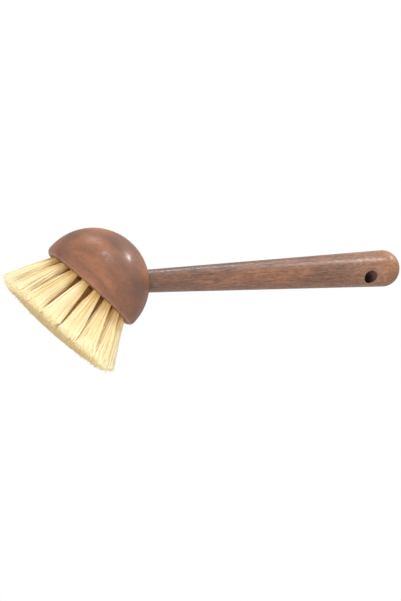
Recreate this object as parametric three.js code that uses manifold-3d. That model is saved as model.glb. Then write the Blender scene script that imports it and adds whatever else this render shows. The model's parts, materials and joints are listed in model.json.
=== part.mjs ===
// Dish brush: a turned wooden ball head with a flat face, a tapered wooden handle glued
// into its side at an angle, and rings of plant-fibre tufts, each folded over a metal anchor.
// Millimetres, +Z up. The tips are trimmed in a shallow dome: the origin is its lowest point,
// the head's axis is Z, and the handle rises towards +X.

import * as THREE from "three";
import { mergeVertices } from "three/addons/utils/BufferGeometryUtils.js";
import Module from "manifold-3d";

// Head: a ball cut flat below its middle
const HEAD_RADIUS = 33;
const FACE_BELOW_MIDDLE = 4.3;
const RIM_ROUNDING = 3.4;

// Bristles: rings of tufts, fanned out from the face down to tips that are trimmed in a dome
const BRISTLE_LENGTH = 33;
const TRIM_RADIUS = 42.6;
const TRIM_RISE = 7.4;
const TUFT_TIP_SPACING = 1.1;
const RING_NAMES = ["centre", "inner", "middle", "outer"];
const RING_TUFTS = [1, 6, 12, 18];
const RING_PHASES = [0, 0.5, 0.5, 0];
const STRAND_RINGS = [1, 4, 7];
const STRAND_ROOT_RADIUS = 0.46;
const STRAND_TIP_RADIUS = 0.9;

// Face: the tuft holes follow the fan, and a thin slice of wood ties the tufts of a ring
const TUFT_HOLE_RADIUS = 2.6;
const TUFT_HOLE_DEPTH = 8;
const SLICE_THICKNESS = 1.2;
const SLICE_MARGIN = 1;
const FACE_LAND = 0.6;

// Anchors: flat metal strips that bite into the wood on both sides of a tuft hole
const ANCHOR_BITE = 0.6;
const ANCHOR_HEIGHT = 1.8;
const ANCHOR_THICKNESS = 0.45;
const FOLD_THICKNESS = 0.8;

// Handle: a straight spigot in the head, then a taper that swells to a domed end
const HANDLE_ANGLE_DEG = 45;
const HANDLE_LENGTH = 150.6;
const HANDLE_NECK_RADIUS = 6.8;
const HANDLE_GRIP_RADIUS = 10.9;
const HANDLE_END_DOME = 10.4;
const SOCKET_ABOVE_TUFTS = 3;
const HANGING_HOLE_RADIUS = 3.6;
const HANGING_HOLE_FROM_END = 22.3;
const HANGING_HOLE_OFF_MIDDLE = 5;
const HANGING_HOLE_SLANT_DEG = 17.5;

// Gap left between pieces that touch
const FIT_GAP = 0.3;

// Facets round each turned or drilled shape, and steps along its arcs
const HEAD_FACETS = 48;
const DOME_STEPS = 12;
const RIM_STEPS = 6;
const SLICE_FACETS = 24;
const TUFT_FACETS = 8;
const STRAND_SIDES = 3;
const HANDLE_FACETS = 32;
const HANDLE_END_STEPS = 8;
const HANGING_HOLE_FACETS = 16;

const FINISHES = {
  wood: { color: 0x96694f, roughness: 0.5, metalness: 0 },
  fibre: { color: 0xf0dca6, roughness: 0.75, metalness: 0 },
  steel: { color: 0xb4b6b8, roughness: 0.35, metalness: 1 },
};

// Places that follow from the sizes above
const FACE_Z = BRISTLE_LENGTH;
const MIDDLE_Z = FACE_Z + FACE_BELOW_MIDDLE;
const FACE_RADIUS = Math.sqrt(
  (HEAD_RADIUS - RIM_ROUNDING) ** 2 - (FACE_BELOW_MIDDLE - RIM_ROUNDING) ** 2,
);
const RECESS_RADIUS = FACE_RADIUS - FACE_LAND;
const RECESS_DEPTH = SLICE_THICKNESS + FIT_GAP;
const OUTER_RING = RING_TUFTS.length - 1;
const RING_PITCH = (RECESS_RADIUS - SLICE_MARGIN - TUFT_HOLE_RADIUS) / OUTER_RING;
const TIP_PITCH = (TRIM_RADIUS + TUFT_TIP_SPACING / 2) / (OUTER_RING + 0.5);
const TUFT_TIP_RADIUS = (TIP_PITCH - TUFT_TIP_SPACING) / 2;
const TUFT_ROOT_RADIUS = TUFT_HOLE_RADIUS - FIT_GAP;
const TUFT_ROOT_TOP = TUFT_HOLE_DEPTH - FIT_GAP;
const ANCHOR_WIDTH = 2 * (TUFT_HOLE_RADIUS + ANCHOR_BITE);
const ANCHOR_Z = TUFT_ROOT_TOP - FOLD_THICKNESS - FIT_GAP - ANCHOR_HEIGHT / 2;
const HANDLE_ANGLE = THREE.MathUtils.degToRad(HANDLE_ANGLE_DEG);
const HANDLE_REACH = HEAD_RADIUS + HANDLE_LENGTH;
const SOCKET_RADIUS = HANDLE_NECK_RADIUS + FIT_GAP;
const SOCKET_LOWEST = TUFT_HOLE_DEPTH + SOCKET_ABOVE_TUFTS - FACE_BELOW_MIDDLE;
const SOCKET_FLOOR = (SOCKET_LOWEST + SOCKET_RADIUS * Math.sin(HANDLE_ANGLE)) / Math.cos(HANDLE_ANGLE);

const wasm = await Module();
wasm.setup();

/** A closed geometry as a solid that can be joined and cut. */
function solidOf(geometry) {
  const bare = geometry.clone();
  bare.deleteAttribute("normal");
  bare.deleteAttribute("uv");
  const merged = mergeVertices(bare);
  const index = merged.index.array;
  const triVerts = [];
  for (let i = 0; i < index.length; i += 3) {
    const [a, b, c] = index.slice(i, i + 3);
    if (a !== b && b !== c && c !== a) triVerts.push(a, b, c);
  }
  return new wasm.Manifold(
    new wasm.Mesh({
      numProp: 3,
      vertProperties: merged.attributes.position.array,
      triVerts: new Uint32Array(triVerts),
    }),
  );
}

/** A solid back as a flat-shaded geometry. */
function geometryOf(solid) {
  const { vertProperties, triVerts, numProp } = solid.getMesh();
  const positions = new Float32Array(triVerts.length * 3);
  triVerts.forEach((vertex, corner) => {
    positions.set(vertProperties.subarray(vertex * numProp, vertex * numProp + 3), corner * 3);
  });
  const geometry = new THREE.BufferGeometry();
  geometry.setAttribute("position", new THREE.BufferAttribute(positions, 3));
  geometry.computeVertexNormals();
  return geometry;
}

/** A named mesh in one of the finishes. */
function piece(name, geometry, finish) {
  const mesh = new THREE.Mesh(geometry, new THREE.MeshStandardMaterial(FINISHES[finish]));
  mesh.name = name;
  return mesh;
}

/** A [radius, height] profile, from the bottom up, turned round the Z axis. */
function turned(profile, facets) {
  const points = profile.map(([radius, height]) => new THREE.Vector2(radius, height));
  return new THREE.LatheGeometry(points, facets).rotateX(Math.PI / 2);
}

/** Points [radius, height] on an ellipse's arc about a centre, from one angle to another. */
function arc([centreRadius, centreHeight], [across, up], fromAngle, toAngle, steps) {
  return Array.from({ length: steps + 1 }, (_, step) => {
    const angle = THREE.MathUtils.lerp(fromAngle, toAngle, step / steps);
    return [centreRadius + across * Math.cos(angle), centreHeight + up * Math.sin(angle)];
  });
}

/** Corners of a regular polygon round the origin, with a flat side facing along X. */
function polygon(radius, sides) {
  return Array.from({ length: sides }, (_, corner) => {
    const angle = ((corner + 0.5) / sides) * 2 * Math.PI;
    return new THREE.Vector2(radius * Math.cos(angle), radius * Math.sin(angle));
  });
}

/** A straight faceted bar along Z between two heights. */
function bar(radius, low, high, sides) {
  return new THREE.ExtrudeGeometry(new THREE.Shape(polygon(radius, sides)), {
    depth: high - low,
    bevelEnabled: false,
  }).translate(0, 0, low);
}

/** Every tuft: its ring, its number there, its azimuth, and its frame with Z up its hole. */
function layOutTufts() {
  return RING_TUFTS.flatMap((count, ring) =>
    Array.from({ length: count }, (_, number) => {
      const azimuth = ((number + RING_PHASES[ring]) / count) * 2 * Math.PI;
      const lean = Math.atan2(ring * (TIP_PITCH - RING_PITCH), BRISTLE_LENGTH);
      const frame = new THREE.Matrix4()
        .makeRotationZ(azimuth)
        .multiply(new THREE.Matrix4().makeTranslation(ring * RING_PITCH, 0, FACE_Z))
        .multiply(new THREE.Matrix4().makeRotationY(-lean));
      return { ring, number, azimuth, frame };
    }),
  );
}

/** A tuft's anchor strip in the tuft's frame, grown by a gap on every side. */
function anchorStrip(gap) {
  return new THREE.BoxGeometry(
    ANCHOR_THICKNESS + 2 * gap,
    ANCHOR_WIDTH + 2 * gap,
    ANCHOR_HEIGHT + 2 * gap,
  ).translate(0, 0, ANCHOR_Z);
}

/** The head: a turned ball with a face recess, a handle socket, tuft holes and anchor slots. */
function headBlock(tufts, handleFrame) {
  const rimAngle = Math.atan2(RIM_ROUNDING - FACE_BELOW_MIDDLE, FACE_RADIUS);
  const rimCentre = [FACE_RADIUS, FACE_Z + RIM_ROUNDING];
  const ballCentre = [0, MIDDLE_Z];
  const profile = [
    [0, FACE_Z],
    ...arc(rimCentre, [RIM_ROUNDING, RIM_ROUNDING], -Math.PI / 2, rimAngle, RIM_STEPS),
    ...arc(ballCentre, [HEAD_RADIUS, HEAD_RADIUS], rimAngle, Math.PI / 2, DOME_STEPS).slice(1, -1),
    [0, MIDDLE_Z + HEAD_RADIUS],
  ];
  const recess = bar(RECESS_RADIUS, FACE_Z - RECESS_DEPTH, FACE_Z + RECESS_DEPTH, SLICE_FACETS);
  const socket = bar(SOCKET_RADIUS, SOCKET_FLOOR, 2 * HEAD_RADIUS, HANDLE_FACETS);
  const hole = bar(TUFT_HOLE_RADIUS, -RECESS_DEPTH, TUFT_HOLE_DEPTH, TUFT_FACETS);
  let block = solidOf(turned(profile, HEAD_FACETS))
    .subtract(solidOf(recess))
    .subtract(solidOf(socket.applyMatrix4(handleFrame)));
  for (const { frame } of tufts) {
    block = block
      .subtract(solidOf(hole.clone().applyMatrix4(frame)))
      .subtract(solidOf(anchorStrip(FIT_GAP).applyMatrix4(frame)));
  }
  return piece("head_block", geometryOf(block), "wood");
}

/** Outer radius of a ring's slice of the face: half way to the next ring, or the recess. */
function sliceEdge(ring) {
  if (ring === OUTER_RING) return RECESS_RADIUS - FIT_GAP;
  return (ring + 0.5) * RING_PITCH - FIT_GAP / 2;
}

/** The slice of the face that ties one ring's tufts into a single solid. */
function faceSlice(ring) {
  const disc = solidOf(bar(sliceEdge(ring), FACE_Z, FACE_Z + SLICE_THICKNESS, SLICE_FACETS));
  if (ring === 0) return disc;
  const insideRadius = sliceEdge(ring - 1) + FIT_GAP;
  return disc.subtract(solidOf(bar(insideRadius, 0, 2 * MIDDLE_Z, SLICE_FACETS)));
}

/** Height of the domed trim at a distance from the head's axis. */
function trimHeight(radius) {
  return TRIM_RISE * (1 - Math.sqrt(1 - (radius / TRIM_RADIUS) ** 2));
}

/** A strand: a closed prism that widens from its root in the face slice to the domed trim. */
function strand(root, tip, turn) {
  const ends = [
    { centre: tip, radius: STRAND_TIP_RADIUS, height: trimHeight(tip.length()) },
    { centre: root, radius: STRAND_ROOT_RADIUS, height: FACE_Z + SLICE_THICKNESS / 2 },
  ];
  const positions = ends.flatMap(({ centre, radius, height }) =>
    polygon(radius, STRAND_SIDES).flatMap((corner) => {
      const place = corner.rotateAround(new THREE.Vector2(), turn).add(centre);
      return [place.x, place.y, height];
    }),
  );
  const faces = [];
  for (let side = 0; side < STRAND_SIDES; side += 1) {
    const next = (side + 1) % STRAND_SIDES;
    faces.push(side, next, STRAND_SIDES + next, side, STRAND_SIDES + next, STRAND_SIDES + side);
  }
  for (let corner = 1; corner < STRAND_SIDES - 1; corner += 1) {
    faces.push(0, corner + 1, corner);
    faces.push(STRAND_SIDES, STRAND_SIDES + corner, STRAND_SIDES + corner + 1);
  }
  const geometry = new THREE.BufferGeometry();
  geometry.setAttribute("position", new THREE.Float32BufferAttribute(positions, 3));
  geometry.setIndex(faces);
  return geometry;
}

/** A tuft's strands, in rings round its axis that open out evenly from root to tip. */
function tuftStrands({ ring, azimuth }) {
  const outermost = STRAND_RINGS.length - 1;
  const rootStep = (TUFT_ROOT_RADIUS - STRAND_ROOT_RADIUS) / outermost;
  const tipStep = (TUFT_TIP_RADIUS - STRAND_TIP_RADIUS) / outermost;
  const polar = (radius, angle) => new THREE.Vector2(radius, 0).rotateAround(new THREE.Vector2(), angle);
  return STRAND_RINGS.flatMap((count, strandRing) =>
    Array.from({ length: count }, (_, number) => {
      const turn = azimuth + (number / count) * 2 * Math.PI;
      const root = polar(ring * RING_PITCH, azimuth).add(polar(strandRing * rootStep, turn));
      const tip = polar(ring * TIP_PITCH, azimuth).add(polar(strandRing * tipStep, turn));
      return strand(root, tip, turn);
    }),
  );
}

/** A tuft's folded root in its hole, ending half way into the face slice, with its anchor slot. */
function tuftRoot({ frame }) {
  const root = bar(TUFT_ROOT_RADIUS, -RECESS_DEPTH, TUFT_ROOT_TOP, TUFT_FACETS);
  const below = bar(HEAD_RADIUS, 0, FACE_Z + SLICE_THICKNESS / 2, TUFT_FACETS);
  return solidOf(root.applyMatrix4(frame))
    .subtract(solidOf(below))
    .subtract(solidOf(anchorStrip(FIT_GAP).applyMatrix4(frame)));
}

/** One ring of bristles: strands and folded roots on their slice of the face. */
function bristleRing(ring, tufts) {
  let bristles = faceSlice(ring);
  for (const tuft of tufts.filter((each) => each.ring === ring)) {
    bristles = bristles.add(tuftRoot(tuft));
    for (const geometry of tuftStrands(tuft)) {
      bristles = bristles.add(solidOf(geometry));
    }
  }
  return piece(`bristles_${RING_NAMES[ring]}`, geometryOf(bristles), "fibre");
}

/** The anchors, one for each tuft, placed in the tufts' frames. */
function anchors(tufts) {
  return tufts.map(({ ring, number, frame }) => {
    const suffix = RING_TUFTS[ring] > 1 ? `_${number + 1}` : "";
    const anchor = piece(`anchor_${RING_NAMES[ring]}${suffix}`, anchorStrip(0), "steel");
    frame.decompose(anchor.position, anchor.quaternion, anchor.scale);
    return anchor;
  });
}

/** The handle along its own Z, measured from the ball's middle, with its slanted hanging hole. */
function handle() {
  const spigotEnd = SOCKET_FLOOR + FIT_GAP;
  const domeCentre = [0, HANDLE_REACH - HANDLE_END_DOME];
  const domeSize = [HANDLE_GRIP_RADIUS, HANDLE_END_DOME];
  const profile = [
    [0, spigotEnd],
    [HANDLE_NECK_RADIUS, spigotEnd],
    [HANDLE_NECK_RADIUS, HEAD_RADIUS],
    ...arc(domeCentre, domeSize, 0, Math.PI / 2, HANDLE_END_STEPS).slice(0, -1),
    [0, HANDLE_REACH],
  ];
  const holeHalf = 2 * HANDLE_GRIP_RADIUS;
  const holeTurn = Math.PI / 2 - THREE.MathUtils.degToRad(HANGING_HOLE_SLANT_DEG);
  const hole = bar(HANGING_HOLE_RADIUS, -holeHalf, holeHalf, HANGING_HOLE_FACETS)
    .rotateX(holeTurn)
    .translate(HANGING_HOLE_OFF_MIDDLE, 0, HANDLE_REACH - HANGING_HOLE_FROM_END);
  const turnedHandle = solidOf(turned(profile, HANDLE_FACETS));
  return piece("handle", geometryOf(turnedHandle.subtract(solidOf(hole))), "wood");
}

/** The whole brush. */
function dishBrush() {
  const tufts = layOutTufts();

  const handleGroup = new THREE.Group();
  handleGroup.position.z = MIDDLE_Z;
  handleGroup.rotation.y = HANDLE_ANGLE;
  handleGroup.updateMatrix();
  handleGroup.add(handle());

  const brush = new THREE.Group();
  brush.add(headBlock(tufts, handleGroup.matrix));
  RING_TUFTS.forEach((_, ring) => brush.add(bristleRing(ring, tufts)));
  brush.add(...anchors(tufts));
  brush.add(handleGroup);
  return brush;
}

export default dishBrush();
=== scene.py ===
"""Dish brush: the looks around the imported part.

Metres, in the part's own frame. The origin is the lowest point of the domed tips, the head's axis
is Z, and the handle rises towards +X. The wood and the fibres are modelled here over their solids,
and the wire anchors inside the head keep theirs.
"""

import json
import logging
import math
from dataclasses import dataclass
from enum import Enum
from typing import Callable, Sequence

import bmesh
import bpy
import numpy as np
from mathutils import Matrix, Vector


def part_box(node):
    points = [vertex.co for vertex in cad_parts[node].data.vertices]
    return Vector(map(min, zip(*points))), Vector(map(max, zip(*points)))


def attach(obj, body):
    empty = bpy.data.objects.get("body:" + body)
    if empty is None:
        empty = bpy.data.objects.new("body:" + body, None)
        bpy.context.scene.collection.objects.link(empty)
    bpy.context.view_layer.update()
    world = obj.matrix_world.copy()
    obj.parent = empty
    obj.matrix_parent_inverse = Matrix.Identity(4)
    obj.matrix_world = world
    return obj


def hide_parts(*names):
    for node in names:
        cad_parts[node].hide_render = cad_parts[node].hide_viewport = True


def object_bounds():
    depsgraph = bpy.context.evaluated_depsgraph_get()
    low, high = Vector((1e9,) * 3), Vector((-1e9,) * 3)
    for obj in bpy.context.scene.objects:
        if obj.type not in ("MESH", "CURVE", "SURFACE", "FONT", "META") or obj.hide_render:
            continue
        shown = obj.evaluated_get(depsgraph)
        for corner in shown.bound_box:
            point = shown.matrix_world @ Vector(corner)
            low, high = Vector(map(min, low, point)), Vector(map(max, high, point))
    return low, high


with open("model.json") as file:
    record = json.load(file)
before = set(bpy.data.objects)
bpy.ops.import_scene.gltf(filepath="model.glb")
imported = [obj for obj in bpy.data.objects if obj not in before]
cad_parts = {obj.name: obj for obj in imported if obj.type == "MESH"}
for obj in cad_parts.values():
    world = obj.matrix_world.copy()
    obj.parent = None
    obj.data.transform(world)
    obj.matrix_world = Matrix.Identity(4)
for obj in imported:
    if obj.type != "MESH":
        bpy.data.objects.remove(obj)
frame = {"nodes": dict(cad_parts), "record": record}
CAD_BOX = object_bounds()
BODY = "root"
ANCHOR_PREFIX = "anchor_"
MM_PER_M = 1000.0

log = logging.getLogger("dish_brush")

Triple = tuple[float, float, float]
Span = tuple[float, float]
Stop = tuple[float, Triple]
Part = bmesh.types.BMEdge | bmesh.types.BMFace
Piece = bpy.types.Object
Material = bpy.types.Material
Socket = bpy.types.NodeSocket
Array = np.ndarray
Random = np.random.Generator

WHITE: Triple = (1.0, 1.0, 1.0)
UP = Vector((0.0, 0.0, 1.0)).freeze()


class Slot(Enum):
    """The record's material slots."""

    HEAD_WOOD = "head_wood"
    HANDLE_WOOD = "handle_wood"
    FIBRE = "fibre"


class Mask(Enum):
    """The marks that a piece's mesh carries for its finish, on its faces or at its points."""

    DRILLED = ("drilled", "FACE")
    # Wear at the handle's end and the head's rim, whose pale colour also paints a highlight there.
    WEAR_HIGHLIGHT = ("worn_highlight", "POINT")
    TONE = ("tone", "POINT")
    REACH = ("reach", "POINT")


class Pick(Enum):
    """What an edit-mode selection is made of."""

    EDGES = (False, True, False)
    FACES = (False, False, True)


class Ring(Enum):
    """The rings of tufts, from the middle of the face outwards, by their names in the frame."""

    CENTRE = "centre"
    INNER = "inner"
    MIDDLE = "middle"
    OUTER = "outer"

    @property
    def step(self) -> int:
        """How many ring steps out from the middle of the face it lies."""
        return list(Ring).index(self)

    @property
    def phase(self) -> float:
        """How far its first tuft is turned past +X, as a share of the tufts' spacing."""
        return 0.5 if self in (Ring.INNER, Ring.MIDDLE) else 0.0

    @property
    def tufts(self) -> int:
        """How many tufts it has: one for each of its anchors in the frame."""
        return sum(name.startswith(ANCHOR_PREFIX + self.value) for name in frame["nodes"])


def deselect() -> None:
    """Leave nothing selected, so that the next operator meets only its own piece."""
    bpy.ops.object.select_all(action="DESELECT")


def take(piece: Piece) -> None:
    """Select a piece alone and make it the active one.

    Args:
        piece: The object that the next operator works on.
    """
    deselect()
    piece.select_set(True)
    bpy.context.view_layer.objects.active = piece


def new_piece(name: str) -> Piece:
    """Name the object that a primitive operator has just added.

    Args:
        name: The piece's name, which its mesh takes too.

    Returns:
        The new object.
    """
    piece = bpy.context.active_object
    piece.name = name
    piece.data.name = name
    return piece


def edit(piece: Piece) -> None:
    """Open a piece alone in edit mode, with nothing of it selected.

    Args:
        piece: The object to edit.
    """
    take(piece)
    bpy.ops.object.mode_set(mode="EDIT")
    bpy.ops.mesh.select_all(action="DESELECT")


def leave_edit() -> None:
    """Turn every face of the edited piece outwards and go back to object mode."""
    bpy.ops.mesh.select_all(action="SELECT")
    bpy.ops.mesh.normals_make_consistent(inside=False)
    bpy.ops.object.mode_set(mode="OBJECT")


def pick(piece: Piece, kind: Pick, wanted: Callable[[Part], bool]) -> None:
    """Select parts of the edited piece by a test of their place or normal.

    Args:
        piece: The object in edit mode.
        kind: Whether edges or faces are tested.
        wanted: The test, given one edge or face.
    """
    bpy.context.tool_settings.mesh_select_mode = kind.value
    bpy.ops.mesh.select_all(action="DESELECT")
    mesh = bmesh.from_edit_mesh(piece.data)
    for part in mesh.edges if kind is Pick.EDGES else mesh.faces:
        part.select_set(wanted(part))
    mesh.select_flush_mode()
    bmesh.update_edit_mesh(piece.data)


def draw_out(stations: Sequence[Span]) -> None:
    """Extrude the selected ring or disc along Z through a turned profile.

    Args:
        stations: Heights and radii along the profile, the first where the selection is now.
    """
    for (low, before), (high, after) in zip(stations, stations[1:]):
        bpy.ops.mesh.extrude_region_move(TRANSFORM_OT_translate={"value": (high - low) * UP})
        share = after / before
        bpy.ops.transform.resize(value=(share, share, 1.0), center_override=high * UP)


def stand(foot: Vector, axis: Vector) -> Matrix:
    """The turn and move that stand a piece's own Z axis on a point, along another axis."""
    return Matrix.Translation(foot) @ UP.rotation_difference(axis).to_matrix().to_4x4()


def place(piece: Piece, where: Matrix) -> None:
    """Move a piece to its place and apply that to its mesh.

    Args:
        piece: The object, modelled on its own axes.
        where: Its place in the part's frame.
    """
    take(piece)
    piece.matrix_world = where
    bpy.ops.object.transform_apply(location=True, rotation=True, scale=True)


def turned(name: str, facets: int, stations: Sequence[Span]) -> Piece:
    """Turn a closed solid on Z: a disc, drawn out through a profile.

    Args:
        name: The piece's name.
        facets: How many sides it has.
        stations: Heights and radii along the profile.

    Returns:
        The solid, in edit mode with its last face selected.
    """
    foot, radius = stations[0]
    deselect()
    bpy.ops.mesh.primitive_circle_add(vertices=facets, radius=radius, fill_type="NGON")
    piece = new_piece(name)
    place(piece, Matrix.Translation(foot * UP))
    edit(piece)
    pick(piece, Pick.FACES, lambda face: True)
    draw_out(stations)
    return piece


def copies(pattern: Piece, name: str, places: Sequence[Matrix]) -> Piece:
    """Copy a modelled pattern to many places, join the copies and remove the pattern.

    Args:
        pattern: The object modelled once.
        name: The joined object's name.
        places: Where the copies go.

    Returns:
        The joined object.
    """
    deselect()
    for where in places:
        twin = pattern.copy()
        twin.data = pattern.data.copy()
        twin.data.transform(where)
        bpy.context.scene.collection.objects.link(twin)
        twin.select_set(True)
        bpy.context.view_layer.objects.active = twin
    bpy.ops.object.join()
    bpy.data.objects.remove(pattern)
    return new_piece(name)


def modify(piece: Piece, kind: str, **settings: object) -> None:
    """Add a modifier to a piece and apply it.

    Args:
        piece: The object.
        kind: The modifier's type name.
        settings: Its own properties.
    """
    take(piece)
    modifier = piece.modifiers.new(kind, kind)
    for name, value in settings.items():
        setattr(modifier, name, value)
    bpy.ops.object.modifier_apply(modifier=modifier.name)


def carve(piece: Piece, cutter: Piece) -> None:
    """Cut a closed shape out of a piece and remove the cutter."""
    modify(piece, "BOOLEAN", operation="DIFFERENCE", solver="EXACT", object=cutter)
    bpy.data.objects.remove(cutter)


def smooth(piece: Piece, angle_deg: float) -> None:
    """Shade a piece smooth, apart from edges sharper than an angle."""
    take(piece)
    bpy.ops.object.shade_smooth_by_angle(angle=math.radians(angle_deg))


def mark(mesh: bpy.types.Mesh, mask: Mask, values: Sequence[float]) -> None:
    """Mark every face or point of a finished mesh for its finish, each from 0 to 1."""
    name, domain = mask.value
    mesh.attributes.new(name, "FLOAT", domain).data.foreach_set("value", values)


def hand_over(piece: Piece, node: str, finish: Material) -> None:
    """Dress a finished piece and let it stand for its solid.

    Args:
        piece: The modelled piece.
        node: The solid in the frame that it stands for.
        finish: Its material.
    """
    piece.data.materials.clear()
    piece.data.materials.append(finish)
    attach(piece, BODY)
    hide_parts(node)
    log.info("%s stands for %s: %d faces", piece.name, node, len(piece.data.polygons))


class Nodes:
    """A node tree being put together."""

    # A mix node has sockets of the same names for each type, so its colour ones go by number.
    MIX_INPUTS = (0, 6, 7)
    MIX_RESULT = 2

    def __init__(self, tree: bpy.types.NodeTree) -> None:
        """Start from an empty tree."""
        self.tree = tree
        tree.nodes.clear()

    def feed(self, socket: Socket, value: object) -> None:
        """Wire another node's output into a socket, or set the socket's value.

        Args:
            socket: The input.
            value: The output that feeds it, or its fixed value.
        """
        if isinstance(value, Socket):
            self.tree.links.new(value, socket)
        else:
            socket.default_value = value

    def add(
        self, kind: str, inputs: dict[str, object] | None = None, **settings: object
    ) -> bpy.types.Node:
        """Add a node.

        Args:
            kind: The node's type name.
            inputs: Values or outputs for its inputs, by name.
            settings: Its own properties.

        Returns:
            The new node.
        """
        node = self.tree.nodes.new(kind)
        for name, value in settings.items():
            setattr(node, name, value)
        for name, value in (inputs or {}).items():
            self.feed(node.inputs[name], value)
        return node

    def math(self, operation: str, *values: object) -> Socket:
        """Work out a number from one to three others.

        Args:
            operation: The math node's operation.
            values: The numbers or outputs that it takes, in order.

        Returns:
            The number.
        """
        node = self.add("ShaderNodeMath", operation=operation)
        for socket, value in zip(node.inputs, values):
            self.feed(socket, value)
        return node.outputs[0]

    def where(self) -> Socket:
        """Read the place on the piece, in metres."""
        return self.add("ShaderNodeTexCoord").outputs["Object"]

    def marked(self, mask: Mask) -> Socket:
        """Read a mark that the piece's mesh carries."""
        return self.add("ShaderNodeAttribute", attribute_name=mask.value[0]).outputs["Fac"]

    def mask(self, value: object, low: float, high: float) -> Socket:
        """Turn a value into a mask: 0 up to a low end and 1 from a high end."""
        node = self.add("ShaderNodeMapRange", {"Value": value, "From Min": low, "From Max": high})
        return node.outputs["Result"]

    def spread(self, value: object, low: float, high: float) -> Socket:
        """Spread a value from 0 to 1 over a range."""
        node = self.add("ShaderNodeMapRange", {"Value": value, "To Min": low, "To Max": high})
        return node.outputs["Result"]

    def ramp(self, value: object, stops: Sequence[Stop]) -> Socket:
        """Turn a value from 0 to 1 into a colour.

        Args:
            value: The value.
            stops: Places from 0 to 1, each with its colour.

        Returns:
            The colour.
        """
        node = self.add("ShaderNodeValToRGB", {"Fac": value})
        elements = node.color_ramp.elements
        while len(elements) < len(stops):
            elements.new(1.0)
        for element, (where, colour) in zip(elements, stops):
            element.position = where
            element.color = (*colour, 1.0)
        return node.outputs["Color"]

    def blend(self, kind: str, share: object, first: object, second: object) -> Socket:
        """Mix two colours.

        Args:
            kind: The mix node's blend type.
            share: How much of the second shows.
            first: The colour underneath.
            second: The colour on top.

        Returns:
            The mixed colour.
        """
        node = self.add("ShaderNodeMix", data_type="RGBA", blend_type=kind)
        for index, value in zip(self.MIX_INPUTS, (share, first, second)):
            self.feed(node.inputs[index], value)
        return node.outputs[self.MIX_RESULT]

    def noise(self, vector: object, scale: float, detail: float, warp: float = 0.0) -> Socket:
        """Add a noise from 0 to 1, by its features in a metre, finer layers and distortion."""
        inputs = {"Vector": vector, "Scale": scale, "Detail": detail, "Distortion": warp}
        return self.add("ShaderNodeTexNoise", inputs).outputs["Fac"]

    def surface(self, inputs: dict[str, object]) -> None:
        """End the material in a principled shader with these inputs."""
        shader = self.add("ShaderNodeBsdfPrincipled", inputs)
        self.add("ShaderNodeOutputMaterial", {"Surface": shader.outputs["BSDF"]})


def new_material(name: str) -> tuple[Material, Nodes]:
    """Start a material.

    Args:
        name: Its name.

    Returns:
        The material and its empty node tree.
    """
    material = bpy.data.materials.new(name)
    material.use_nodes = True
    return material, Nodes(material.node_tree)


@dataclass(frozen=True)
class FigureLayer:
    """One layer of the wood's figure: a noise, drawn out along the grain."""

    scale: float
    detail: float
    stretch: float = 1.0
    warp: float = 0.0
    band: Span = (0.0, 1.0)

    def lay(self, nodes: Nodes, grain: Socket) -> Socket:
        """Add the layer's nodes.

        Args:
            nodes: The figure's nodes.
            grain: Coordinates with Z along the grain.

        Returns:
            The layer's value: 0 up to the low end of its band and 1 from the high end.
        """
        inputs = {"Vector": grain, "Scale": (1.0, 1.0, self.stretch)}
        along = nodes.add("ShaderNodeMapping", inputs, vector_type="POINT").outputs["Vector"]
        return nodes.mask(nodes.noise(along, self.scale, self.detail, self.warp), *self.band)


@dataclass(frozen=True)
class WoodFigure:
    """The figure that both woods share: its mottle, streaks, pores, polish and rippled relief."""

    mottle: FigureLayer = FigureLayer(55.0, 3.0, stretch=0.5, warp=0.6)
    streaks: FigureLayer = FigureLayer(900.0, 4.0, stretch=0.1, warp=0.35)
    pores: FigureLayer = FigureLayer(1500.0, 2.0, stretch=0.13, band=(0.52, 0.62))
    polish: FigureLayer = FigureLayer(950.0, 2.0, stretch=0.5, band=(0.38, 0.68))
    ripple: FigureLayer = FigureLayer(210.0, 2.0)
    streak_rise: float = 0.35
    pore_rise: float = -0.3

    OUTPUTS = ("Mottle", "Streak", "Pores", "Polish", "Height")

    def group(self) -> bpy.types.NodeTree:
        """Build the node group.

        Returns:
            The group: Vector in, and Mottle, Streak, Pores, Polish and Height out.
        """
        tree = bpy.data.node_groups.new("wood_figure", "ShaderNodeTree")
        tree.interface.new_socket("Vector", in_out="INPUT", socket_type="NodeSocketVector")
        for name in self.OUTPUTS:
            tree.interface.new_socket(name, in_out="OUTPUT", socket_type="NodeSocketFloat")
        nodes = Nodes(tree)
        grain = nodes.add("NodeGroupInput").outputs["Vector"]
        layers = (self.mottle, self.streaks, self.pores, self.polish, self.ripple)
        mottle, streaks, pores, polish, ripple = (layer.lay(nodes, grain) for layer in layers)
        rise = nodes.math("MULTIPLY_ADD", streaks, self.streak_rise, ripple)
        height = nodes.math("MULTIPLY_ADD", pores, self.pore_rise, rise)
        outputs = (mottle, streaks, pores, polish, height)
        nodes.add("NodeGroupOutput", dict(zip(self.OUTPUTS, outputs)))
        return tree


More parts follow.
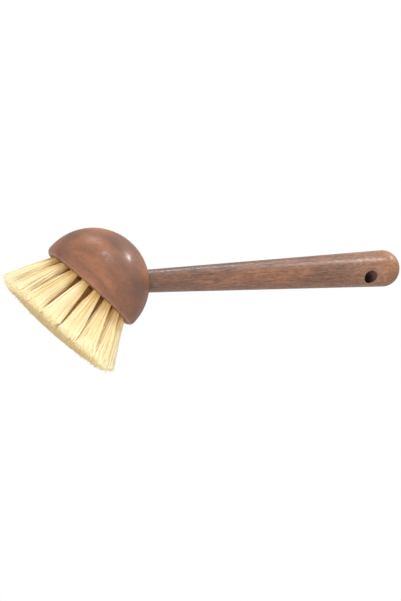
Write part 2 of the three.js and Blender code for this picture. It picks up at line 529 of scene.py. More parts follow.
@dataclass(frozen=True)
class WoodFinish:
    """Oiled dark hardwood: mottled, streaked along its grain, with open pores and a broken gloss.

    Where it is drilled it is raw and dull, and painted darker as shade. Where it is worn it is
    lighter, as wear and as a painted highlight, and less glossy.
    """

    name: str
    grain_turn_deg: Triple
    figure_shift: Triple
    dark: Triple
    middle: Triple
    warm: Triple
    mottle_share: float
    pore_share: float
    worn_highlight: Triple
    worn_highlight_share: float
    coat: float
    coat_evenness: float
    coat_roughness: float
    tone_stops: Triple = (0.34, 0.5, 0.66)
    pore: Triple = (0.055, 0.028, 0.020)
    # Painted shade: the hanging hole's raw, dull lining is painted darker, as shade inside the
    # bore.
    raw_shaded_lining: Triple = (0.105, 0.060, 0.050)
    wear_highlight_evenness: float = 0.5
    dulled_band: Span = (0.55, 1.0)
    roughness: Span = (0.42, 0.60)
    gloss: float = 0.1
    coat_ior: float = 2.0
    bump: float = 0.6
    bump_depth: float = 0.00012

    def colour(self, nodes: Nodes, wood: bpy.types.Node) -> Socket:
        """Colour the wood: its mottle and streaks, then its pores, its wear with a painted
        highlight, and its drilled lining with painted shade.

        Args:
            nodes: The material's nodes.
            wood: The figure's node.

        Returns:
            The colour.
        """
        streaks = nodes.math("MULTIPLY", wood.outputs["Streak"], 1.0 - self.mottle_share)
        tone = nodes.math("MULTIPLY_ADD", wood.outputs["Mottle"], self.mottle_share, streaks)
        tones = (self.dark, self.middle, self.warm)
        colour = nodes.ramp(tone, list(zip(self.tone_stops, tones)))
        pores = nodes.math("MULTIPLY", wood.outputs["Pores"], self.pore_share)
        colour = nodes.blend("MIX", pores, colour, (*self.pore, 1.0))
        # The pale worn colour is partly wear and partly a painted highlight.
        least_worn_highlight = self.worn_highlight_share * self.wear_highlight_evenness
        wear_highlight_mix = nodes.spread(wood.outputs["Polish"], least_worn_highlight, self.worn_highlight_share)
        wear_highlight_mix = nodes.math("MULTIPLY", nodes.marked(Mask.WEAR_HIGHLIGHT), wear_highlight_mix)
        colour = nodes.blend("MIX", wear_highlight_mix, colour, (*self.worn_highlight, 1.0))
        # The drilled lining takes the raw colour, darkened as painted shade.
        return nodes.blend("MIX", nodes.marked(Mask.DRILLED), colour, (*self.raw_shaded_lining, 1.0))

    def polish(self, nodes: Nodes, wood: bpy.types.Node) -> Socket:
        """Lay the oil's broken gloss, which is gone where the wood is drilled or well worn, where
        its colour also paints a highlight.

        Args:
            nodes: The material's nodes.
            wood: The figure's node.

        Returns:
            The gloss coat's weight.
        """
        least = self.coat * self.coat_evenness
        polish = nodes.spread(wood.outputs["Polish"], least, self.coat)
        dulled = nodes.mask(nodes.marked(Mask.WEAR_HIGHLIGHT), *self.dulled_band)
        bare = nodes.math("MAXIMUM", nodes.marked(Mask.DRILLED), dulled)
        return nodes.math("MULTIPLY", polish, nodes.math("SUBTRACT", 1.0, bare))

    def make(self, figure: bpy.types.NodeTree) -> Material:
        """Build the material.

        Args:
            figure: The shared figure's node group.

        Returns:
            The material.
        """
        material, nodes = new_material(self.name)
        turn = tuple(math.radians(angle) for angle in self.grain_turn_deg)
        grain = nodes.add(
            "ShaderNodeMapping",
            {"Vector": nodes.where(), "Location": self.figure_shift, "Rotation": turn},
        )
        wood = nodes.add("ShaderNodeGroup", node_tree=figure)
        nodes.feed(wood.inputs["Vector"], grain.outputs["Vector"])
        roughness = nodes.spread(wood.outputs["Streak"], *self.roughness)
        relief = nodes.add(
            "ShaderNodeBump",
            {"Height": wood.outputs["Height"], "Strength": self.bump, "Distance": self.bump_depth},
        )
        nodes.surface(
            {
                "Base Color": self.colour(nodes, wood),
                "Roughness": nodes.math("MAXIMUM", roughness, nodes.marked(Mask.DRILLED)),
                "Specular IOR Level": self.gloss,
                "Coat Weight": self.polish(nodes, wood),
                "Coat Roughness": self.coat_roughness,
                "Coat IOR": self.coat_ior,
                "Normal": relief.outputs["Normal"],
            }
        )
        return material


@dataclass(frozen=True)
class FibreFinish:
    """Pale straw plant fibre: each has its own tone, painted browner at its hole as shade and paler
    at its tip as a highlight, with a faint painted glow.
    """

    name: str = "straw_fibre"
    tone_stops: tuple[float, ...] = (0.0, 0.3, 0.62, 1.0)
    brown: Triple = (0.55, 0.28, 0.07)
    golden: Triple = (0.81, 0.53, 0.17)
    straw: Triple = (0.92, 0.785, 0.425)
    pale: Triple = (0.945, 0.87, 0.60)
    # Painted shade: each fibre darkens towards its hole, where shade falls near the face.
    root: Triple = (0.68, 0.51, 0.31)
    root_shade_reach: float = 0.35
    # Painted highlight: each fibre is paler towards its tip, which lightens the trimmed band.
    tip_lift: float = 0.58
    tip_power: float = 2.2
    roughness: float = 0.5
    gloss: float = 0.35
    # Painted glow: a faint warm emission that lightens the fibres' shade, though they are no lamp.
    painted_glow: Triple = (1.0, 0.50, 0.14)
    painted_glow_strength: float = 0.06

    def make(self) -> Material:
        """Build the material.

        Returns:
            The material, which reads the fibres' tone and reach attributes.
        """
        material, nodes = new_material(self.name)
        reach = nodes.marked(Mask.REACH)
        # Painted highlight towards the tips.
        tip_highlight = nodes.math("POWER", reach, self.tip_power)
        tone = nodes.math("MULTIPLY_ADD", tip_highlight, self.tip_lift, nodes.marked(Mask.TONE))
        tones = (self.brown, self.golden, self.straw, self.pale)
        colour = nodes.ramp(tone, list(zip(self.tone_stops, tones)))
        # Painted shade near the roots.
        root_shade = nodes.ramp(reach, [(0.0, self.root), (self.root_shade_reach, WHITE)])
        nodes.surface(
            {
                "Base Color": nodes.blend("MULTIPLY", 1.0, colour, root_shade),
                "Roughness": self.roughness,
                "Specular IOR Level": self.gloss,
                "Emission Color": (*self.painted_glow, 1.0),
                "Emission Strength": self.painted_glow_strength,
            }
        )
        return material


@dataclass(frozen=True)
class WireFinish:
    """Drawn flat steel wire, with a fine uneven grain."""

    name: str = "drawn_wire"
    dark: Triple = (0.36, 0.37, 0.38)
    light: Triple = (0.58, 0.59, 0.60)
    grain_scale: float = 9000.0
    grain_detail: float = 2.0
    grain_band: Span = (0.3, 0.7)
    roughness: Span = (0.28, 0.46)

    def make(self) -> Material:
        """Build the material.

        Returns:
            The material.
        """
        material, nodes = new_material(self.name)
        grain = nodes.noise(nodes.where(), self.grain_scale, self.grain_detail)
        tones = list(zip(self.grain_band, (self.dark, self.light)))
        nodes.surface(
            {
                "Base Color": nodes.ramp(grain, tones),
                "Roughness": nodes.spread(grain, *self.roughness),
                "Metallic": 1.0,
            }
        )
        return material


@dataclass(frozen=True)
class TuftField:
    """How the tufts sit in the face and fan out to tips that are trimmed in a dome."""

    face: float
    hole_radius: float = 0.0026
    hole_depth: float = 0.008
    outer_holes: float = 0.0254
    outer_tips: float = 0.037
    trim_radius: float = 0.0426
    trim_rise: float = 0.0074
    trim_limit: float = 0.995

    def trim(self, out: Array) -> Array:
        """Heights of the domed trim at distances from the head's axis."""
        share = np.clip(out / self.trim_radius, 0.0, self.trim_limit)
        return self.trim_rise * (1.0 - np.sqrt(1.0 - share**2))

    def frames(self, ring: Ring) -> list[Matrix]:
        """Lay out one ring's tufts.

        Args:
            ring: The ring.

        Returns:
            Each tuft's frame: at its hole's mouth, with Z up the hole.
        """
        share = ring.step / Ring.OUTER.step
        lean = math.atan2(share * (self.outer_tips - self.outer_holes), self.face)
        mouth = Matrix.Translation((share * self.outer_holes, 0.0, self.face))
        tilt = Matrix.Rotation(-lean, 4, "Y")
        spacing = math.tau / ring.tufts
        turns = [(number + ring.phase) * spacing for number in range(ring.tufts)]
        return [Matrix.Rotation(turn, 4, "Z") @ mouth @ tilt for turn in turns]


@dataclass(frozen=True)
class Handle:
    """The turned handle: a spigot in the head, a long taper, a domed end and a hanging hole."""

    foot: Vector
    axis: Vector
    spigot_end: float
    head_radius: float
    reach: float
    neck_radius: float
    grip_radius: float
    hole_middle: Vector
    hole_axis: Vector
    hole_radius: float
    end_dome: float = 0.0104
    hole_lip: float = 0.0003
    lip_angle_deg: float = 40.0
    lip_steps: int = 3
    lining_slack: float = 1.02
    lining_tilt: float = 0.05
    worn_highlight_reach: float = 0.045
    facets: int = 76
    taper_steps: int = 10
    dome_steps: int = 14
    hole_facets: int = 48
    cutter_margin: float = 2.0
    smooth_deg: float = 32.0

    @classmethod
    def from_frame(cls, middle: Vector, head_radius: float) -> "Handle":
        """Measure the handle's solid and its hanging hole.

        Args:
            middle: The middle of the ball head, which the handle's axis goes through.
            head_radius: The ball's radius, where the taper starts.

        Returns:
            The handle at the solid's sizes.
        """
        mounts = {mount["name"]: mount for mount in frame["record"]["mounts"]}
        hole = mounts["hanging_hole"]
        offsets = [vertex.co - middle for vertex in frame["nodes"]["handle"].data.vertices]
        axis = max(offsets, key=lambda offset: offset.length).normalized()
        heights = [offset.dot(axis) for offset in offsets]
        radii = [(offset - height * axis).length for offset, height in zip(offsets, heights)]
        neck = [radius for radius, height in zip(radii, heights) if height < head_radius]
        return cls(
            foot=middle,
            axis=axis,
            spigot_end=min(heights),
            head_radius=head_radius,
            reach=max(heights),
            neck_radius=max(neck),
            grip_radius=max(radii),
            hole_middle=Vector(hole["pos_m"]),
            hole_axis=Vector(hole["axis"]),
            hole_radius=hole["dims"]["r_mm"] / MM_PER_M,
        )

    @property
    def standing(self) -> Matrix:
        """The handle's place in the head."""
        return stand(self.foot, self.axis)

    @property
    def slant_deg(self) -> float:
        """How far the handle leans from the head's axis."""
        return math.degrees(math.atan2(self.axis.x, self.axis.z))

    def profile(self) -> list[Span]:
        """Work out the turned outline.

        Returns:
            Heights and radii from the spigot's end to just below the top of the dome.
        """
        dome_foot = self.reach - self.end_dome
        points = [(self.spigot_end, self.neck_radius)]
        for step in range(self.taper_steps + 1):
            share = step / self.taper_steps
            height = self.head_radius + share * (dome_foot - self.head_radius)
            radius = self.neck_radius + share * (self.grip_radius - self.neck_radius)
            points.append((height, radius))
        for step in range(1, self.dome_steps):
            angle = 0.5 * math.pi * step / self.dome_steps
            height = dome_foot + self.end_dome * math.sin(angle)
            points.append((height, self.grip_radius * math.cos(angle)))
        return points

    def socket(self, gap: float) -> Piece:
        """A cutter for the head's socket, a little wider than the spigot.

        Args:
            gap: The glue gap round the spigot.

        Returns:
            The cutter, in place.
        """
        radius = self.neck_radius + gap
        low = self.spigot_end - gap
        high = self.cutter_margin * self.head_radius
        cutter = turned("socket_cutter", self.facets, [(low, radius), (high, radius)])
        leave_edit()
        place(cutter, self.standing)
        return cutter

    def drill(self) -> Piece:
        """A cutter for the hanging hole, longer than the handle is thick.

        Returns:
            The cutter, in place.
        """
        deselect()
        length = self.cutter_margin * 2.0 * self.grip_radius
        bpy.ops.mesh.primitive_cylinder_add(
            vertices=self.hole_facets, radius=self.hole_radius, depth=length
        )
        cutter = new_piece("hole_cutter")
        place(cutter, stand(self.hole_middle, self.hole_axis))
        return cutter

    def wood(self) -> WoodFinish:
        """Choose the handle's wood.

        Returns:
            The finish, with its grain along the handle and a pale end, worn and painted as a
            highlight.
        """
        return WoodFinish(
            name="handle_hardwood",
            grain_turn_deg=(0.0, -self.slant_deg, 0.0),
            figure_shift=(0.89, 0.55, 0.01),
            dark=(0.072, 0.041, 0.032),
            middle=(0.152, 0.073, 0.045),
            warm=(0.258, 0.112, 0.058),
            mottle_share=0.5,
            pore_share=0.45,
            # The pale end colour is wear and also a painted highlight.
            worn_highlight=(0.46, 0.235, 0.134),
            worn_highlight_share=0.7,
            coat=0.46,
            coat_evenness=0.35,
            coat_roughness=0.32,
        )

    def build(self, finish: Material) -> None:
        """Turn the handle, drill its hole, ease its edges and dress it.

        Args:
            finish: The wood.
        """
        profile = self.profile()
        piece = turned("turned_handle", self.facets, profile)
        left = self.reach - profile[-1][0]
        bpy.ops.mesh.extrude_region_move(TRANSFORM_OT_translate={"value": left * UP})
        bpy.ops.mesh.merge(type="CENTER")
        leave_edit()
        place(piece, self.standing)
        carve(piece, self.drill())
        modify(
            piece,
            "BEVEL",
            limit_method="ANGLE",
            angle_limit=math.radians(self.lip_angle_deg),
            width=self.hole_lip,
            segments=self.lip_steps,
            loop_slide=False,
            use_clamp_overlap=False,
        )
        smooth(piece, self.smooth_deg)
        mesh = piece.data
        mark(mesh, Mask.DRILLED, [self.lines_hole(mesh, face) for face in mesh.polygons])
        # The worn end is wear and also a painted highlight.
        mark(mesh, Mask.WEAR_HIGHLIGHT, [self.wear_highlight(vertex.co) for vertex in mesh.vertices])
        hand_over(piece, "handle", finish)

    def lines_hole(self, mesh: bpy.types.Mesh, face: bpy.types.MeshPolygon) -> float:
        """Tell the hanging hole's lining from its eased lip and the rest.

        Args:
            mesh: The handle's mesh.
            face: One of its faces.

        Returns:
            1 for a face of the lining, and 0 for others.
        """
        axis = self.hole_axis.normalized()
        offsets = [mesh.vertices[corner].co - self.hole_middle for corner in face.vertices]
        limit = self.lining_slack * self.hole_radius
        inside = all(offset.cross(axis).length < limit for offset in offsets)
        return float(inside and abs(face.normal.dot(axis)) < self.lining_tilt)

    def wear_highlight(self, point: Vector) -> float:
        """How worn the handle is at a point, which also sets its painted highlight: most at the tip
        of its domed end.
        """
        left = self.reach - (point - self.foot).dot(self.axis)
        return max(0.0, 1.0 - left / self.worn_highlight_reach)


@dataclass(frozen=True)
class BallHead:
    """The turned ball, cut flat at the face, with a rounded rim, tuft holes and a handle socket."""

    radius: float
    middle: float
    face: float
    rim_rounding: float = 0.0034
    worn_highlight_line: float = 0.8
    worn_highlight_width: float = 0.19
    socket_gap: float = 0.00012
    hole_chamfer: float = 0.00035
    drill_flare: float = 4.0
    segments: int = 144
    rings: int = 96
    rim_steps: int = 10
    hole_facets: int = 20
    smooth_deg: float = 32.0

    @classmethod
    def from_frame(cls) -> "BallHead":
        """Measure the head's solid.

        Returns:
            The head at the solid's sizes.
        """
        low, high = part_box("head_block")
        radius = 0.5 * (high.x - low.x)
        return cls(radius=radius, middle=high.z - radius, face=low.z)

    def rim(self) -> list[Span]:
        """Work out the rounded rim.

        Returns:
            Heights and radii round the rim, from the ball down to the flat face.
        """
        across = self.radius - self.rim_rounding
        rise = self.middle - self.face - self.rim_rounding
        centre_radius = math.sqrt(across**2 - rise**2)
        centre_height = self.face + self.rim_rounding
        start = -math.atan2(rise, centre_radius)
        points = []
        for step in range(self.rim_steps + 1):
            angle = start + (-0.5 * math.pi - start) * step / self.rim_steps
            height = centre_height + self.rim_rounding * math.sin(angle)
            points.append((height, centre_radius + self.rim_rounding * math.cos(angle)))
        return points

    def tuft_drill(self, field: TuftField, places: Sequence[Matrix]) -> Piece:
        """Cutters for all the tuft holes, each with a chamfered mouth.

        Args:
            field: The holes' sizes.
            places: The tufts' frames.

        Returns:
            The cutters, joined.
        """
        below = self.drill_flare * self.hole_chamfer
        stations = [
            (self.hole_chamfer - below, field.hole_radius + below),
            (self.hole_chamfer, field.hole_radius),
            (field.hole_depth, field.hole_radius),
        ]
        cutter = turned("tuft_drill", self.hole_facets, stations)
        leave_edit()
        return copies(cutter, "tuft_drills", places)

    @staticmethod
    def wood() -> WoodFinish:
        """Choose the head's wood.

        Returns:
            The finish, with its grain across the head and a pale rim line, worn and painted as a
            highlight.
        """
        return WoodFinish(
            name="head_hardwood",
            grain_turn_deg=(0.0, 90.0, 0.0),
            figure_shift=(0.988, 0.958, 0.631),
            dark=(0.140, 0.073, 0.053),
            middle=(0.204, 0.095, 0.059),
            warm=(0.308, 0.130, 0.067),
            mottle_share=0.82,
            pore_share=0.2,
            # The pale rim colour is wear and also a painted highlight line.
            worn_highlight=(0.42, 0.31, 0.24),
            worn_highlight_share=0.34,
            coat=0.13,
            coat_evenness=0.15,
            coat_roughness=0.24,
        )

    def build(self, field: TuftField, handle: Handle, finish: Material) -> None:
        """Turn the ball, round its rim, cut its holes and dress it.

        Args:
            field: Where the tuft holes are.
            handle: The handle that the socket is for.
            finish: The wood.
        """
        rim = self.rim()
        deselect()
        bpy.ops.mesh.primitive_uv_sphere_add(
            segments=self.segments, ring_count=self.rings, radius=self.radius
        )
        piece = new_piece("ball_head")
        place(piece, Matrix.Translation(self.middle * UP))
        edit(piece)
        bpy.ops.mesh.select_all(action="SELECT")
        bpy.ops.mesh.bisect(plane_co=rim[0][0] * UP, plane_no=UP, clear_inner=True)
        pick(piece, Pick.EDGES, lambda edge: edge.is_boundary)
        draw_out(rim)
        bpy.ops.mesh.edge_face_add()
        leave_edit()
        carve(piece, handle.socket(self.socket_gap))
        places = [where for ring in Ring for where in field.frames(ring)]
        carve(piece, self.tuft_drill(field, places))
        smooth(piece, self.smooth_deg)
        # The worn rim line is wear and also a painted highlight.
        mark(piece.data, Mask.WEAR_HIGHLIGHT, [self.wear_highlight(vertex.co) for vertex in piece.data.vertices])
        hand_over(piece, "head_block", finish)

    def wear_highlight(self, point: Vector) -> float:
        """How worn the head is at a point, which also sets its painted highlight line: most on the
        lower half of its rounded rim.
        """
        down = (self.face + self.rim_rounding - point.z) / self.rim_rounding
        return max(0.0, 1.0 - abs(down - self.worn_highlight_line) / self.worn_highlight_width)


@dataclass(frozen=True)
class TuftRing:
    """One ring of tufts: each a fan of fine fibres out of its hole, all trimmed in one dome."""

    ring: Ring
    field: TuftField
    fibres: int = 210
    root_depth: float = 0.0025
    root_radius: float = 0.00245
    tip_radius: float = 0.0056
    sector_fill: float = 0.4
    sector_share: float = 0.93
    thickness: float = 0.00036
    thickness_range: Span = (0.75, 1.25)
    spot_spread: float = 0.02
    clumps: int = 14
    clump_pull: float = 0.13
    bow: float = 0.0003
    stray_share: float = 0.08
    stray_reach: float = 1.2
    trim_spread: float = 0.0006
    # Painted shade: fibres inside a tuft are darker than those on its outside.
    shaded_core_tone: float = 0.3
    outer_tone: float = 0.84
    # Painted shade: the rings inside the outer one are darker, as shade between the tufts.
    inner_rings_shade: float = -0.18
    tuft_tone_spread: float = 0.05
    clump_tone_spread: float = 0.24
    fibre_tone_spread: float = 0.18
    smooth_deg: float = 100.0
    seed: int = 41

    ROD_SIDES = 4
    GOLDEN_TURN = math.pi * (3.0 - math.sqrt(5.0))
    SPREAD_STATIONS = (0.0, 0.34, 0.67, 1.0)
    TINY = 1e-9

    def pattern(self) -> tuple[Array, list[list[int]]]:
        """Model one fibre: a rod with flat sides, cut into as many lengths as its path has.

        Returns:
            Its vertices, with Z from 0 to 1 along it, and its faces.
        """
        deselect()
        bpy.ops.mesh.primitive_cylinder_add(vertices=self.ROD_SIDES, radius=1.0, depth=1.0)
        rod = new_piece("fibre_pattern")
        place(rod, Matrix.Translation(0.5 * UP))
        edit(rod)
        pick(rod, Pick.EDGES, lambda edge: abs(edge.verts[0].co.z - edge.verts[1].co.z) > 0.5)
        bpy.ops.mesh.subdivide(number_cuts=len(self.SPREAD_STATIONS) - 1)
        leave_edit()
        vertices = np.array([vertex.co for vertex in rod.data.vertices])
        faces = [list(face.vertices) for face in rod.data.polygons]
        bpy.data.objects.remove(rod)
        return vertices, faces

    def scatter(self, rng: Random) -> tuple[Array, Array]:
        """Spread one tuft's fibres over a disc, a little drawn into clumps.

        Args:
            rng: The random numbers.

        Returns:
            The fibres' places on a unit disc, and each fibre's clump.
        """
        count = np.arange(self.fibres)
        radius = np.sqrt((count + 0.5) / self.fibres)
        angle = count * self.GOLDEN_TURN + rng.uniform(0.0, math.tau)
        spots = np.stack([radius * np.cos(angle), radius * np.sin(angle)], axis=1)
        spots += rng.normal(0.0, self.spot_spread, spots.shape)
        middles = spots[rng.choice(self.fibres, self.clumps, replace=False)]
        apart = np.linalg.norm(spots[:, None, :] - middles[None, :, :], axis=2)
        clump = apart.argmin(axis=1)
        drawn = spots + self.clump_pull * (middles[clump] - spots)
        return np.concatenate([spots, drawn], axis=1), clump

    def tips(self, spots: Array, azimuth: float, rng: Random) -> Array:
        """Fan one tuft's fibres out over its share of the domed trim.

        Args:
            spots: The fibres' places on a unit disc.
            azimuth: Which way from the head's axis the tuft lies.
            rng: The random numbers.

        Returns:
            The fibres' tips.
        """
        stray = np.where(rng.random(self.fibres) < self.stray_share, self.stray_reach, 1.0)
        # The disc is drawn out towards a square, so that neighbouring tufts meet at their corners.
        widest = np.maximum(np.abs(spots).max(axis=1), self.TINY)
        corner = np.linalg.norm(spots, axis=1) / widest - 1.0
        square = spots * (1.0 + self.sector_fill * corner)[:, None] * stray[:, None]
        if self.ring.step:
            middle = self.field.outer_tips * self.ring.step / Ring.OUTER.step
            out = middle + self.tip_radius * square[:, 0]
            angle = azimuth + self.sector_share * math.pi / self.ring.tufts * square[:, 1]
        else:
            out = self.tip_radius * np.linalg.norm(spots, axis=1)
            angle = np.arctan2(spots[:, 1], spots[:, 0])
        uneven = rng.normal(0.0, self.trim_spread, self.fibres)
        if self.ring is not Ring.OUTER:
            uneven = np.abs(uneven)
        height = self.field.trim(out) + uneven
        return np.stack([out * np.cos(angle), out * np.sin(angle), height], axis=1)

    def paths(self, where: Matrix, rng: Random) -> tuple[Array, Array]:
        """Lay out the paths of one tuft's fibres.

        Args:
            where: The tuft's frame.
            rng: The random numbers.

        Returns:
            Points along every fibre, root first, and each fibre's tone from 0 to 1.
        """
        spots, clump = self.scatter(rng)
        frame_turn = np.array(where.to_3x3())
        mouth = np.array(where.translation)
        flat = np.zeros((self.fibres, 1))
        rooted = np.concatenate([spots[:, :2] * self.root_radius, flat], axis=1)
        at_face = mouth + rooted @ frame_turn.T
        at_root = at_face + self.root_depth * frame_turn[:, 2]
        tips = self.tips(spots[:, 2:], math.atan2(mouth[1], mouth[0]), rng)
        bend = rng.normal(0.0, self.bow, (self.fibres, 3))
        stations = [at_root]
        for share in self.SPREAD_STATIONS:
            line = at_face + share * (tips - at_face)
            arch = 4.0 * share * (1.0 - share)
            stations.append(line + arch * bend)
        return np.stack(stations, axis=1), self.tones(spots[:, :2], clump, rng)

    def tones(self, spots: Array, clump: Array, rng: Random) -> Array:
        """Give one tuft's fibres their tones: paler outside and darker in its core and in the inner
        rings as painted shade, and alike within a clump.

        Args:
            spots: The fibres' places on a unit disc.
            clump: Each fibre's clump.
            rng: The random numbers.

        Returns:
            Each fibre's tone from 0 to 1.
        """
        # Painted shade: darker towards the tuft's core.
        outside = np.linalg.norm(spots, axis=1)
        tone = self.shaded_core_tone + (self.outer_tone - self.shaded_core_tone) * outside**2
        # Painted shade on the inner rings.
        if self.ring is not Ring.OUTER:
            tone = tone + self.inner_rings_shade
        tone = tone + rng.normal(0.0, self.tuft_tone_spread)
        tone = tone + rng.normal(0.0, self.clump_tone_spread, self.clumps)[clump]
        tone = tone + rng.normal(0.0, self.fibre_tone_spread, self.fibres)
        return np.clip(tone, 0.0, 1.0)

    def sweep(self, rod: Array, station: Array, paths: Array, rng: Random) -> Array:
        """Draw the fibre along every path, each with its own turn and thickness.

        Args:
            rod: The vertices of the fibre that is copied.
            station: Which point of its path each vertex lies at.
            paths: Points along every fibre, root first.
            rng: The random numbers.

        Returns:
            The vertices of every fibre.
        """
        along = paths[:, -1] - paths[:, 1]
        along /= np.linalg.norm(along, axis=1)[:, None]
        turn = rng.uniform(0.0, math.tau, len(paths))
        across = np.stack([np.cos(turn), np.sin(turn), np.zeros(len(paths))], axis=1)
        across -= np.sum(across * along, axis=1)[:, None] * along
        across /= np.linalg.norm(across, axis=1)[:, None]
        beside = np.cross(along, across)
        half = 0.5 * self.thickness * rng.uniform(*self.thickness_range, len(paths))
        section = rod[:, 0, None] * across[:, None, :] + rod[:, 1, None] * beside[:, None, :]
        return paths[:, station] + half[:, None, None] * section

    def build(self, finish: Material) -> None:
        """Copy the fibre along every path of the ring and dress it.

        Args:
            finish: The fibre's material.
        """
        rng = np.random.default_rng(self.seed + self.ring.step)
        rod, rod_faces = self.pattern()
        laid = [self.paths(where, rng) for where in self.field.frames(self.ring)]
        paths = np.concatenate([points for points, _ in laid])
        tone = np.concatenate([tones for _, tones in laid])
        station = np.rint(rod[:, 2] * (paths.shape[1] - 1)).astype(int)
        points = self.sweep(rod, station, paths, rng)
        offsets = np.arange(len(paths)) * len(rod)
        faces = [[corner + offset for corner in face] for offset in offsets for face in rod_faces]
        mesh = bpy.data.meshes.new(f"tufts_{self.ring.value}")
        mesh.from_pydata(points.reshape(-1, 3).tolist(), [], faces)
        reach = np.clip((station - 1) / (len(self.SPREAD_STATIONS) - 1), 0.0, 1.0)
        mark(mesh, Mask.TONE, np.repeat(tone, len(rod)))
        mark(mesh, Mask.REACH, np.tile(reach, len(paths)))
        piece = bpy.data.objects.new(mesh.name, mesh)
        bpy.context.scene.collection.objects.link(piece)
        edit(piece)
        leave_edit()
        smooth(piece, self.smooth_deg)
        hand_over(piece, f"bristles_{self.ring.value}", finish)


@dataclass(frozen=True)
class Anchors:
    """The wire anchors, whose solids stay as they are."""

    def dress(self, finish: Material) -> None:
        """Give every anchor its finish.

        Args:
            finish: The wire.
        """
        names = [name for name in frame["nodes"] if name.startswith(ANCHOR_PREFIX)]
        for name in names:
            anchor = frame["nodes"][name]
            anchor.data.materials.clear()
            anchor.data.materials.append(finish)
        log.info("%d anchors dressed", len(names))


@dataclass(frozen=True)
class Lamp:
    """A studio lamp, turned to the brush, that shows in the wood's gloss or only lights it."""

    name: str
    toward: Triple
    distance: float
    size: Span
    power: float
    in_gloss: bool = True

    def hang(self, middle: Vector) -> None:
        """Put the lamp in its place, turned to the brush.

        Args:
            middle: The middle of the brush.
        """
        toward = Vector(self.toward).normalized()
        deselect()
        bpy.ops.object.light_add(type="AREA", location=middle + self.distance * toward)
        lamp = bpy.context.active_object
        lamp.name = self.name
        lamp.rotation_euler = toward.to_track_quat("Z", "Y").to_euler()
        lamp.data.shape = "RECTANGLE"
        lamp.data.size, lamp.data.size_y = self.size
        lamp.data.energy = self.power
        lamp.visible_glossy = self.in_gloss


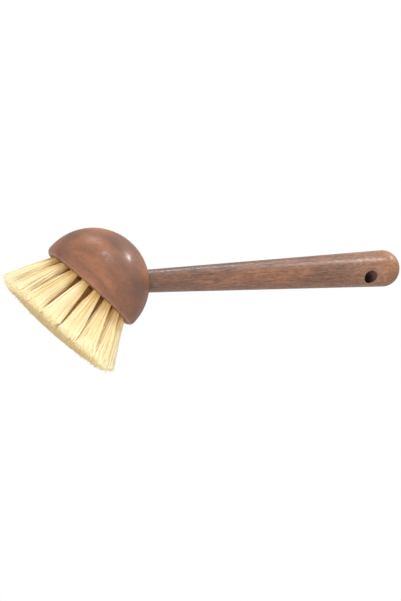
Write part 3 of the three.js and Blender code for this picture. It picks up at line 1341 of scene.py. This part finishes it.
@dataclass(frozen=True)
class Studio:
    """The pale floor, the soft light and the camera."""

    floor_radius: float = 0.6
    floor_drop: float = 0.0002
    floor_facets: int = 96
    floor_clear: Span = (0.2, 0.5)
    floor_colour: Triple = (0.9, 0.9, 0.9)
    ambient: float = 0.12
    backdrop: float = 1.0
    aim: Triple = (0.05304, -0.00847, 0.07134)
    distance: float = 1.1
    azimuth_deg: float = -4.145
    elevation_deg: float = -6.869
    roll_deg: float = -41.425
    sensor_height: float = 24.0
    lens: float = 75.09
    lamps: tuple[Lamp, ...] = (
        Lamp("left_softbox", (-0.46, -0.88, -0.12), 0.95, (0.6, 0.6), 3.3, in_gloss=False),
        Lamp("right_softbox", (0.3, -0.88, 0.27), 0.95, (0.6, 0.6), 2.9, in_gloss=False),
        Lamp("overhead_softbox", (-0.696, 0.12, 0.712), 0.85, (0.3, 0.3), 2.5),
        Lamp("handle_strip", (-0.328, -0.48, 0.821), 0.7, (0.3, 0.1), 2.05),
        Lamp("top_lamp", (0.15, 0.1, 0.98), 0.9, (0.14, 0.07), 5.8),
        Lamp("low_fill", (0.25, -0.74, -0.63), 0.9, (0.6, 0.6), 3.3, in_gloss=False),
    )

    def lay_floor(self) -> None:
        """Lay the floor, which is clear from below and fades out towards its edge."""
        deselect()
        bpy.ops.mesh.primitive_circle_add(
            vertices=self.floor_facets,
            radius=self.floor_radius,
            fill_type="NGON",
            location=-self.floor_drop * UP,
        )
        floor = new_piece("studio_floor")
        material, nodes = new_material("studio_floor")
        out = nodes.add("ShaderNodeVectorMath", {"Vector": nodes.where()}, operation="LENGTH")
        fade = nodes.mask(out.outputs["Value"], *self.floor_clear)
        under = nodes.add("ShaderNodeNewGeometry").outputs["Backfacing"]
        clear = nodes.math("MAXIMUM", under, fade)
        matt = nodes.add("ShaderNodeBsdfDiffuse", {"Color": (*self.floor_colour, 1.0)})
        air = nodes.add("ShaderNodeBsdfTransparent")
        faded = nodes.add("ShaderNodeMixShader", {"Fac": clear})
        for socket, shader in zip(faded.inputs[1:], (matt, air)):
            nodes.feed(socket, shader.outputs["BSDF"])
        nodes.add("ShaderNodeOutputMaterial", {"Surface": faded.outputs["Shader"]})
        floor.data.materials.append(material)
        floor.visible_shadow = False

    def light_world(self) -> None:
        """Light the room softly all round, and show it white behind the brush and in its gloss."""
        world = bpy.data.worlds.new("studio")
        bpy.context.scene.world = world
        world.use_nodes = True
        nodes = Nodes(world.node_tree)
        path = nodes.add("ShaderNodeLightPath").outputs
        seen = nodes.math("ADD", path["Is Camera Ray"], path["Is Glossy Ray"])
        seen = nodes.math("ADD", seen, path["Is Transmission Ray"])
        strength = nodes.spread(seen, self.ambient, self.backdrop)
        room = nodes.add("ShaderNodeBackground", {"Color": (*WHITE, 1.0), "Strength": strength})
        nodes.add("ShaderNodeOutputWorld", {"Surface": room.outputs["Background"]})

    def stand_camera(self) -> None:
        """Stand the camera where the photograph was taken from, with the same roll."""
        azimuth, elevation, roll = (
            math.radians(angle) for angle in (self.azimuth_deg, self.elevation_deg, self.roll_deg)
        )
        flat = math.cos(elevation)
        toward = Vector((math.sin(azimuth) * flat, -math.cos(azimuth) * flat, math.sin(elevation)))
        level = (UP - toward.z * toward).normalized()
        up = math.cos(roll) * level + math.sin(roll) * level.cross(toward)
        turn = Matrix((up.cross(toward), up, toward)).transposed().to_4x4()
        bpy.ops.object.camera_add()
        camera = bpy.context.active_object
        camera.name = "photo_camera"
        camera.matrix_world = Matrix.Translation(Vector(self.aim) + self.distance * toward) @ turn
        camera.data.sensor_fit = "VERTICAL"
        camera.data.sensor_height = self.sensor_height
        camera.data.lens = self.lens
        bpy.context.scene.camera = camera

    def build(self) -> None:
        """Set up the whole studio."""
        self.stand_camera()
        self.lay_floor()
        self.light_world()
        middle = 0.5 * (CAD_BOX[0] + CAD_BOX[1])
        for lamp in self.lamps:
            lamp.hang(middle)
        bpy.context.scene.view_settings.view_transform = "Standard"
        log.info("studio: floor, %d lamps and camera", len(self.lamps))


def main() -> None:
    """Build the brush piece by piece."""
    logging.basicConfig(level=logging.INFO, format="%(message)s")
    Studio().build()
    head = BallHead.from_frame()
    handle = Handle.from_frame(head.middle * UP, head.radius)
    field = TuftField(face=head.face)
    figure = WoodFigure().group()
    head.build(field, handle, head.wood().make(figure))
    handle.build(handle.wood().make(figure))
    fibre = FibreFinish().make()
    for ring in Ring:
        TuftRing(ring, field).build(fibre)
    Anchors().dress(WireFinish().make())


if __name__ == "__main__":
    main()
